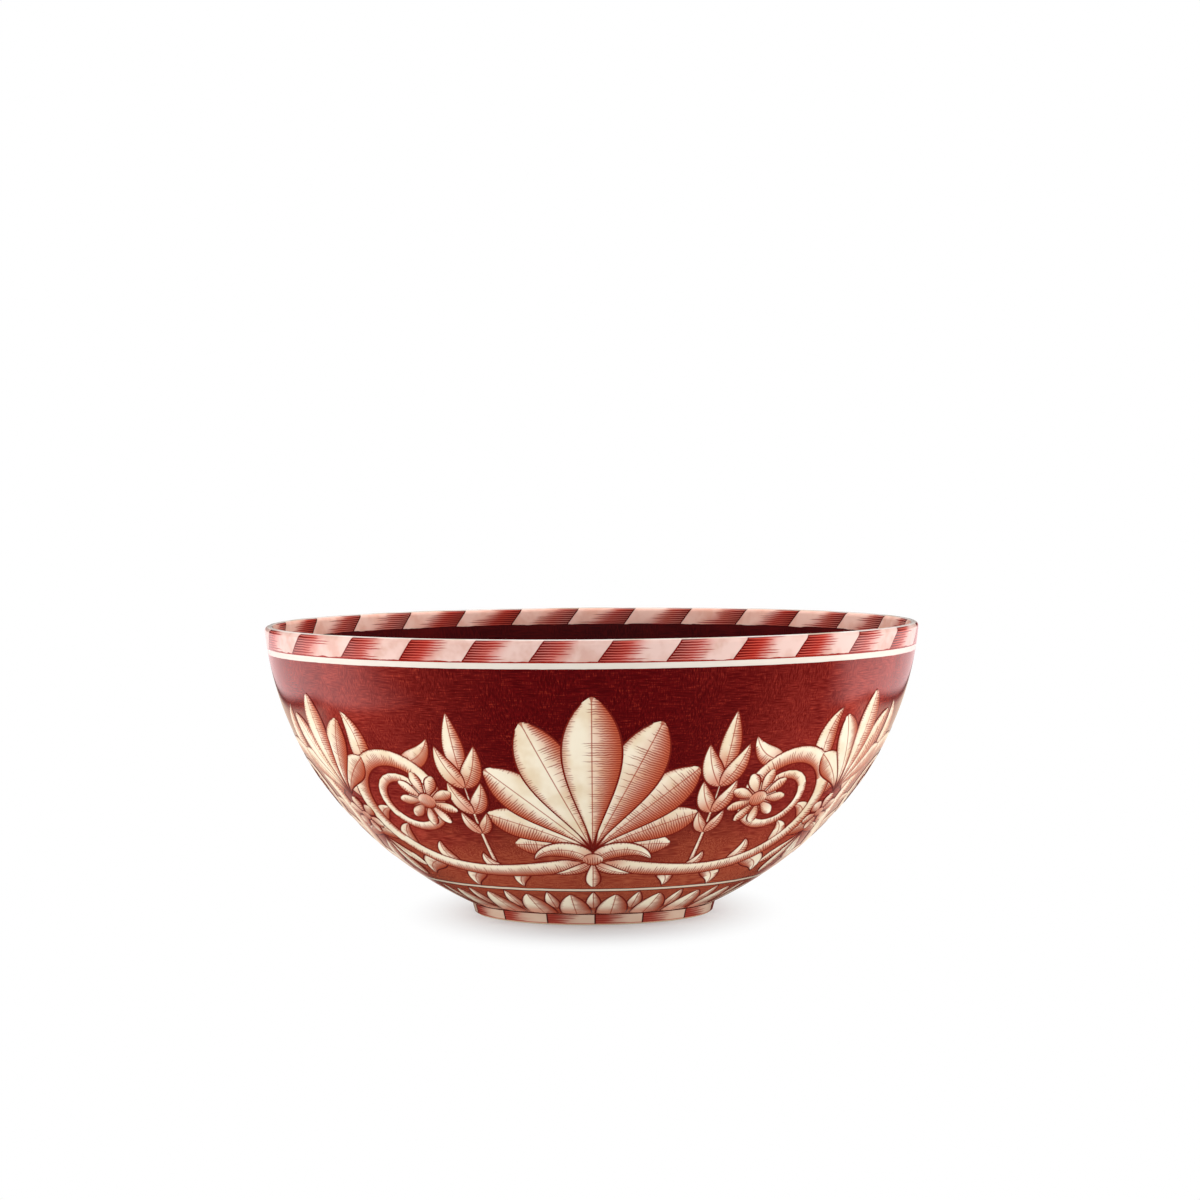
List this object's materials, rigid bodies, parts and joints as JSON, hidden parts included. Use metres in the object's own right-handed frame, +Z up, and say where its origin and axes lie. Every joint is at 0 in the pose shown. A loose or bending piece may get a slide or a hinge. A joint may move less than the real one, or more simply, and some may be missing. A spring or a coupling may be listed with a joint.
{
  "type": "porcelain bowl",
  "caption": "Wide round porcelain bowl on a low foot ring, glazed deep red, with twisted-ribbon borders at the rim and a painted band on the foot, for serving or display.",
  "frame": {"origin": "on the table, at the centre of the foot ring", "axes": "+Z up along the axis of the bowl; the view from -Y is the pictured side"},
  "size_m": [0.3199, 0.32, 0.142],
  "materials": {
    "porcelain_clay": "fired white porcelain body, covered by the coats",
    "bare_clay": "bare fired clay, smooth turned, matt",
    "white_glaze": "clear glaze over white porcelain, glossy",
    "inside_red": "very dark red ground under glossy glaze",
    "outside_red": "deep red hand-brushed ground under glossy glaze",
    "ribbon_pink": "pale pink twisted-ribbon border with red hatching, glossy",
    "cream_glaze": "cream overglaze enamel, glossy",
    "foot_border": "painted blocks, pale and dark red, glossy"
  },
  "bodies": {
    "root": {"bowl_body": "porcelain_clay", "foot_ring": "bare_clay", "underside_glaze": "white_glaze", "inside_red_coat": "inside_red", "inside_ribbon_band": "ribbon_pink", "lip_edge": "cream_glaze", "outside_ribbon_band": "ribbon_pink", "cream_line": "cream_glaze", "outside_red_coat": "outside_red", "foot_band": "foot_border"}
  },
  "joints": []
}
